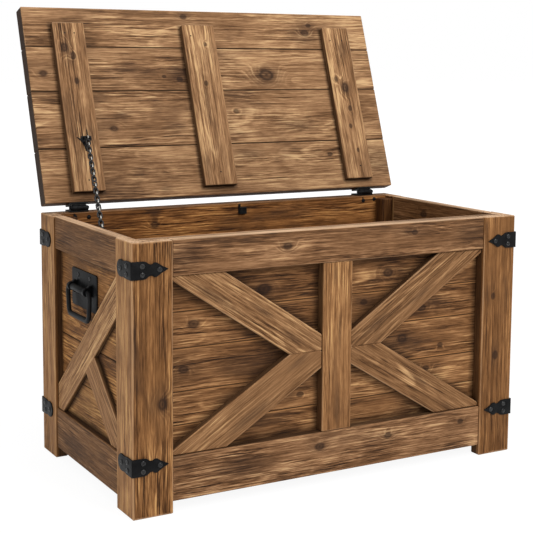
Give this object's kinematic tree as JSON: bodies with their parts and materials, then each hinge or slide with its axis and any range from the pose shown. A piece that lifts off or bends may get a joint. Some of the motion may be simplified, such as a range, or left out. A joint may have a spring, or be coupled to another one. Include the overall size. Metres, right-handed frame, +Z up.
{
  "type": "storage chest",
  "caption": "Farmhouse wooden storage chest with braced frame, hinged lid held open by a chain, iron corner straps and swinging lift handles.",
  "frame": {"origin": "on the ground under the centre of everything, open lid included", "axes": "+X to the chest's right seen from the front, +Y to its rear where the lid's hinges are, +Z up"},
  "size_m": [0.802, 0.5684, 0.8489],
  "materials": {
    "frame_wood": "stained, rubbed matt",
    "brace_wood": "stained, worn edges, matt",
    "panel_wood": "stained, matt",
    "lid_wood": "stained, rubbed matt, knotty",
    "black_iron": "black, matt"
  },
  "bodies": {
    "root": {"corner_post_front_left": "frame_wood", "corner_post_front_right": "frame_wood", "corner_post_rear_left": "frame_wood", "corner_post_rear_right": "frame_wood", "front_top_rail": "frame_wood", "front_bottom_rail": "frame_wood", "rear_top_rail": "frame_wood", "rear_bottom_rail": "frame_wood", "left_top_rail": "frame_wood", "left_bottom_rail": "frame_wood", "right_top_rail": "frame_wood", "right_bottom_rail": "frame_wood", "front_stile": "frame_wood", "front_brace_upper_left": "brace_wood", "front_brace_upper_right": "brace_wood", "front_brace_lower_left": "brace_wood", "front_brace_lower_right": "brace_wood", "left_brace_full": "brace_wood", "left_brace_half": "brace_wood", "right_brace_full": "brace_wood", "right_brace_half": "brace_wood", "front_plank_1": "panel_wood", "front_plank_2": "panel_wood", "front_plank_3": "panel_wood", "front_plank_4": "panel_wood", "front_plank_5": "panel_wood", "rear_wall": "panel_wood", "left_panel": "panel_wood", "right_panel": "panel_wood", "floor_board": "panel_wood", "hinge_left_box_leaf": "black_iron", "hinge_right_box_leaf": "black_iron", "hinge_left_pin": "black_iron", "hinge_right_pin": "black_iron", "corner_strap_front_left_upper": "black_iron", "corner_strap_front_left_lower": "black_iron", "corner_strap_front_right_upper": "black_iron", "corner_strap_front_right_lower": "black_iron", "corner_strap_rear_left_upper": "black_iron", "corner_strap_rear_left_lower": "black_iron", "corner_strap_rear_right_upper": "black_iron", "corner_strap_rear_right_lower": "black_iron", "left_handle_plate": "black_iron", "right_handle_plate": "black_iron", "chain_wall_stud": "black_iron", "rear_wall_catch": "black_iron"},
    "lid": {"lid_plank_1": "lid_wood", "lid_plank_2": "lid_wood", "lid_plank_3": "lid_wood", "lid_plank_4": "lid_wood", "lid_batten_left": "lid_wood", "lid_batten_middle": "lid_wood", "lid_batten_right": "lid_wood", "hinge_left_lid_leaf": "black_iron", "hinge_right_lid_leaf": "black_iron", "chain_lid_staple": "black_iron"},
    "chain_lower": {"chain_lower_half": "black_iron"},
    "chain_upper": {"chain_upper_half": "black_iron"},
    "handle_left": {"left_handle_bail": "black_iron"},
    "handle_right": {"right_handle_bail": "black_iron"}
  },
  "joints": [
    {"name": "lid_hinge", "type": "hinge", "parent": "root", "child": "lid", "pos_m": [0, 0.13074, 0.468], "axis": [1, 0, 0], "range_deg": [0, 109.5]},
    {"name": "chain_lower_pivot", "type": "hinge", "parent": "root", "child": "chain_lower", "pos_m": [-0.363, -0.07526, 0.455], "axis": [1, 0, 0], "range_deg": [-123.51, 0]},
    {"name": "chain_upper_pivot", "type": "hinge", "parent": "lid", "child": "chain_upper", "pos_m": [-0.303, 0.14558, 0.60066], "axis": [1, 0, 0], "range_deg": [-53.01, 0]},
    {"name": "handle_left_pivot", "type": "hinge", "parent": "root", "child": "handle_left", "pos_m": [-0.3933, -0.03757, 0.345], "axis": [0, 1, 0], "range_deg": [0, 110]},
    {"name": "handle_right_pivot", "type": "hinge", "parent": "root", "child": "handle_right", "pos_m": [0.3933, -0.03757, 0.345], "axis": [0, -1, 0], "range_deg": [0, 110]}
  ],
  "couplings": [
    {"joint": "chain_lower_pivot", "follows": "lid_hinge", "ratio": -1.127},
    {"joint": "chain_upper_pivot", "follows": "lid_hinge", "ratio": -0.48318}
  ]
}
